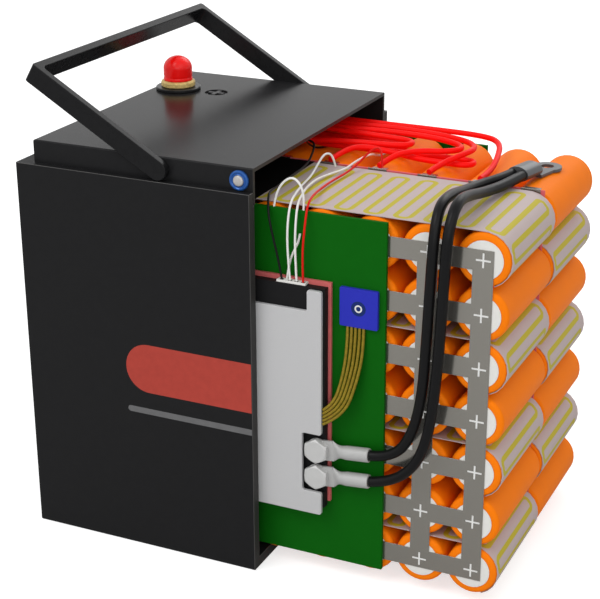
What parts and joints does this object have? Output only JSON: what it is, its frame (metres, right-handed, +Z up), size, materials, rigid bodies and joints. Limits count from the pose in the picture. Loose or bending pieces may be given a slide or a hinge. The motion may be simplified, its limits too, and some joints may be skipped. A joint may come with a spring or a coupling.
{
  "type": "lithium iron phosphate battery",
  "caption": "Cutaway lithium battery: black case, lid, bail handle, push button and capped post, open at one side on stacked cylinder cells, boards and wiring",
  "frame": {"origin": "middle of the remaining case's underside, where it stands on a floor", "axes": "+Z up, +X from the closed end of the case towards the open cells, -Y towards the face with the guard board"},
  "size_m": [0.2507, 0.169, 0.2495],
  "materials": {
    "case_black": "moulded satin black",
    "lid_black": "moulded satin black",
    "handle_black": "moulded satin black",
    "pin_steel": "plain turned",
    "washer_rubber": "matt black",
    "brass": "turned, lightly tarnished",
    "zinc_steel": "zinc plated",
    "copper_bar": "bare copper",
    "red_plastic": "glossy",
    "blue_plastic": "satin",
    "silver_plunger": "polished",
    "cell_orange": "heat-shrunk wrap, glossy",
    "insulator_white": "paper",
    "nickel": "plain strip",
    "separator_pink": "thin sheet",
    "heater_film": "film",
    "board_green": "lacquered",
    "board_salmon": "lacquered edge",
    "guard_black": "moulded",
    "plate_aluminium": "fine brushed",
    "socket_white": "moulded",
    "tinned_lug": "tinned copper",
    "module_blue": "satin",
    "lead_gold": "plated",
    "cable_black": "glossy sheath",
    "wire_red": "glossy sheath",
    "wire_white": "satin sheath"
  },
  "bodies": {
    "battery": {"case": "case_black", "lid": "lid_black", "handle_pins": "pin_steel", "terminal_washer": "washer_rubber", "terminal_post": "brass", "terminal_nuts": "zinc_steel", "guard_bolts": "zinc_steel", "button_nut": "zinc_steel", "positive_bar": "copper_bar", "terminal_cap": "red_plastic", "button_bezel": "blue_plastic", "front_cells_row_1": "cell_orange", "back_cells_row_1": "cell_orange", "front_cells_row_2": "cell_orange", "back_cells_row_2": "cell_orange", "front_cells_row_3": "cell_orange", "back_cells_row_3": "cell_orange", "front_cells_row_4": "cell_orange", "back_cells_row_4": "cell_orange", "front_cells_row_5": "cell_orange", "back_cells_row_5": "cell_orange", "front_cells_row_6": "cell_orange", "back_cells_row_6": "cell_orange", "front_cells_row_7": "cell_orange", "back_cells_row_7": "cell_orange", "insulator_rings": "insulator_white", "front_nickel_lattice": "nickel", "back_nickel_lattice": "nickel", "inner_front_strips": "nickel", "inner_back_strips": "nickel", "block_separator": "separator_pink", "front_heating_films": "heater_film", "back_heating_films": "heater_film", "front_board": "board_green", "back_board": "board_green", "guard_board": "board_salmon", "guard_body": "guard_black", "heat_plate": "plate_aluminium", "guard_socket": "socket_white", "guard_lugs": "tinned_lug", "outlet_lug": "tinned_lug", "radio_module": "module_blue", "module_leads": "lead_gold", "cable_upper": "cable_black", "cable_lower": "cable_black", "sense_black": "cable_black", "red_wire_1": "wire_red", "red_wire_2": "wire_red", "red_wire_3": "wire_red", "red_wire_4": "wire_red", "red_wire_5": "wire_red", "red_wire_6": "wire_red", "sense_red": "wire_red", "sense_white_1": "wire_white", "sense_white_2": "wire_white", "sense_loop": "wire_white", "sense_short": "wire_white"},
    "handle": {"handle": "handle_black"},
    "button": {"button_plunger": "silver_plunger"}
  },
  "joints": [
    {"name": "handle_hinge", "type": "hinge", "parent": "battery", "child": "handle", "pos_m": [0.0154, 0, 0.20465], "axis": [0, 1, 0], "range_deg": [-30.7, 59.3]},
    {"name": "button_press", "type": "slide", "parent": "battery", "child": "button", "axis": [0, 1, 0], "range_m": [0, 0.0012], "stiffness_N_per_m": 600}
  ]
}
